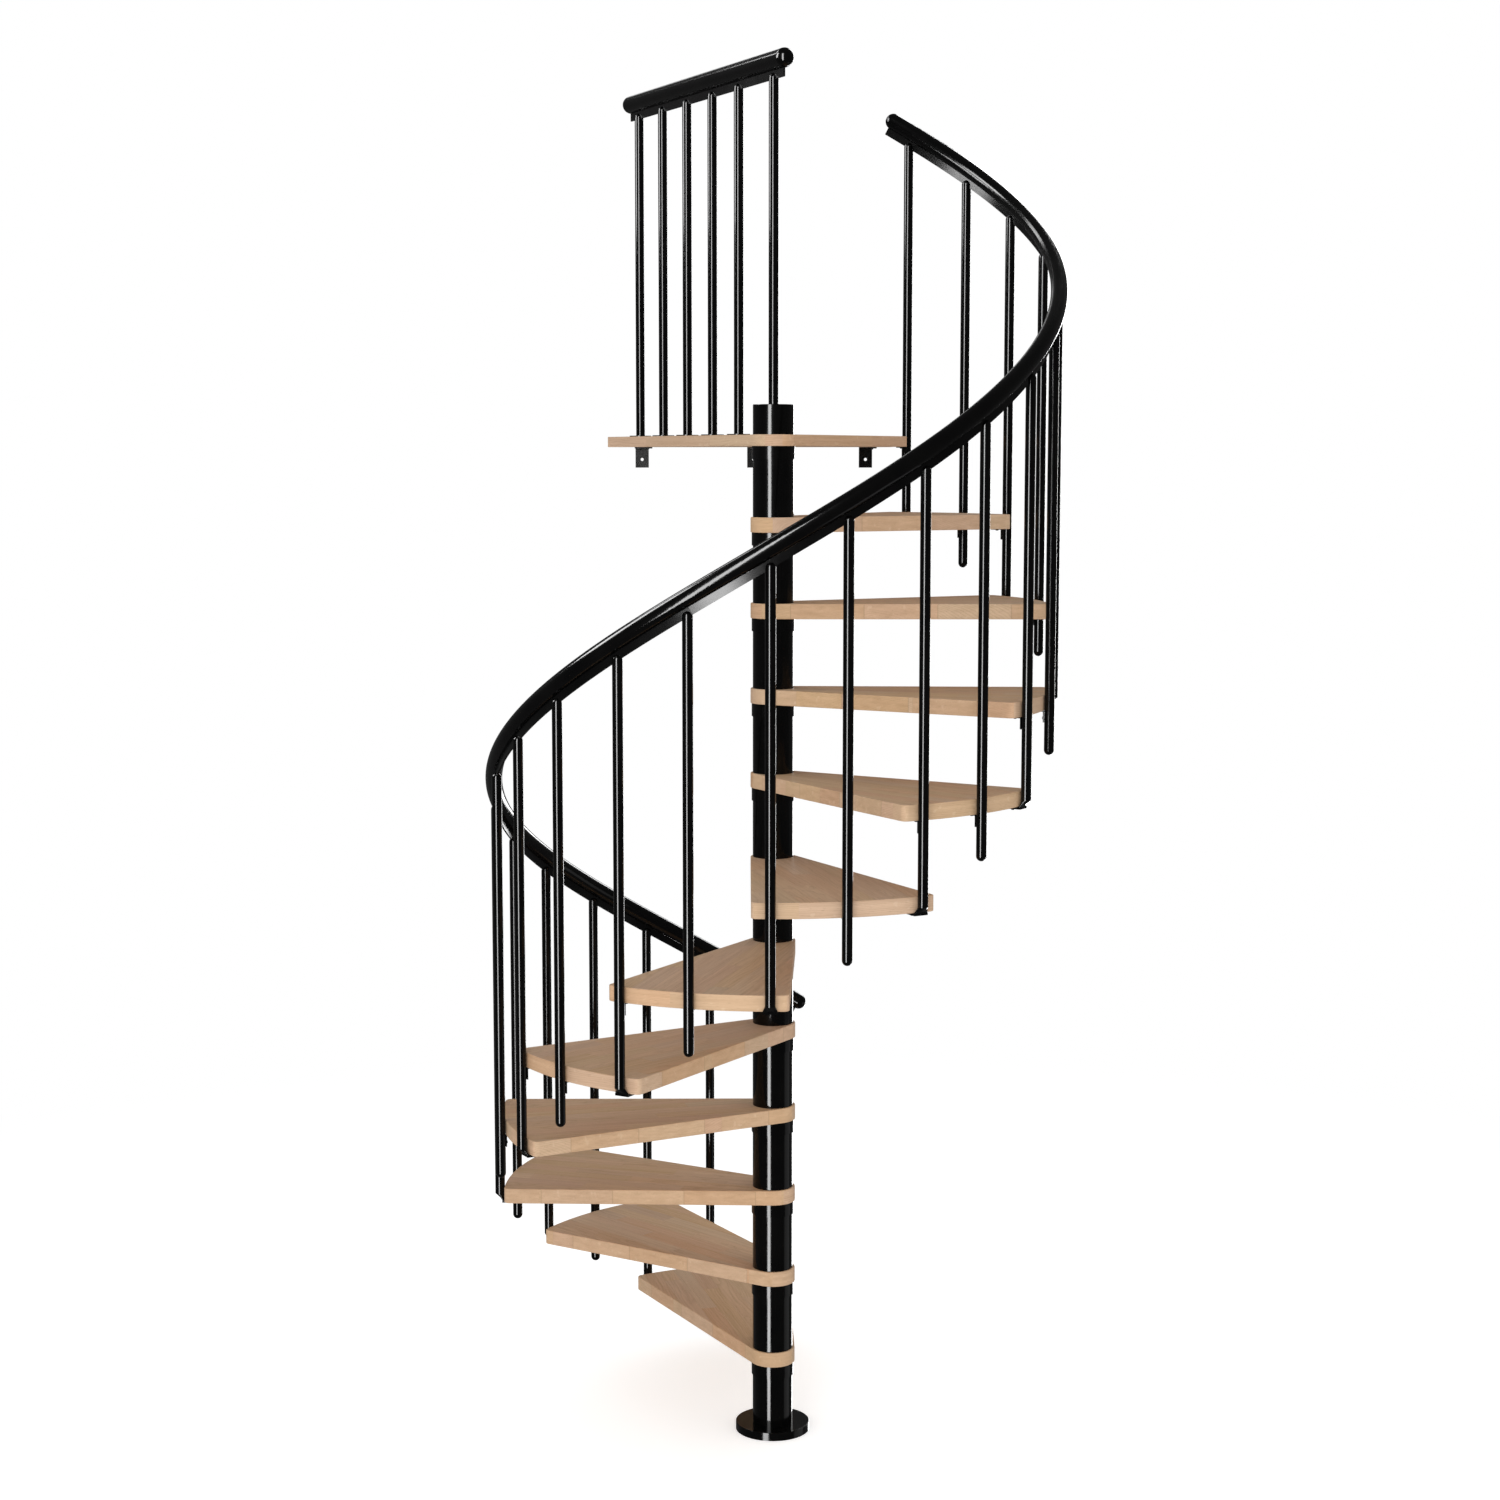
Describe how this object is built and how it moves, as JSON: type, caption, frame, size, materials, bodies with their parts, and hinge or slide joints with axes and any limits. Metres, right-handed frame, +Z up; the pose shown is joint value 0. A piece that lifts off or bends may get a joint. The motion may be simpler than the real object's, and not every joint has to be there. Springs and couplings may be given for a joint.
{
  "type": "spiral staircase",
  "caption": "Spiral staircase: oak wedge treads round a black steel column, rods linking tread to tread, a helical tube handrail over a flat bar, and a small railed landing",
  "frame": {"origin": "centre of the round base plate's underside, on the floor, on the column's axis", "axes": "+Z up along the column, +Y towards the wall behind the landing, +X to the right when facing that wall"},
  "size_m": [1.52, 1.6274, 3.675],
  "materials": {
    "oak": "light oak staves glued edge to edge, satin lacquer",
    "black_steel": "gloss black powder coat",
    "black_rail": "high gloss black, smooth tube",
    "zinc": "zinc plated steel"
  },
  "bodies": {
    "root": {"base_plate": "black_steel", "column_tubes": "black_steel", "column_post": "black_steel", "tie_rod": "zinc", "column_collars": "black_steel", "tread_01": "oak", "tread_02": "oak", "tread_03": "oak", "tread_04": "oak", "tread_05": "oak", "tread_06": "oak", "tread_07": "oak", "tread_08": "oak", "tread_09": "oak", "tread_10": "oak", "tread_11": "oak", "landing_board": "oak", "wall_brackets": "black_steel", "link_rod_brackets": "black_steel", "mid_rod_brackets": "black_steel", "first_baluster": "black_steel", "link_balusters": "black_steel", "mid_balusters": "black_steel", "handrail_1": "black_rail", "handrail_2": "black_rail", "handrail_3": "black_rail", "handrail_4": "black_rail", "handrail_5": "black_rail", "handrail_6": "black_rail", "rail_bar_1": "black_steel", "rail_bar_2": "black_steel", "rail_bar_3": "black_steel", "rail_bar_4": "black_steel", "rail_bar_5": "black_steel", "rail_bar_6": "black_steel", "handrail_caps": "black_rail", "landing_handrail": "black_rail", "landing_rail_caps": "black_rail", "landing_rail_bar": "black_steel", "landing_balusters": "black_steel", "landing_rosettes": "black_steel"}
  },
  "joints": []
}
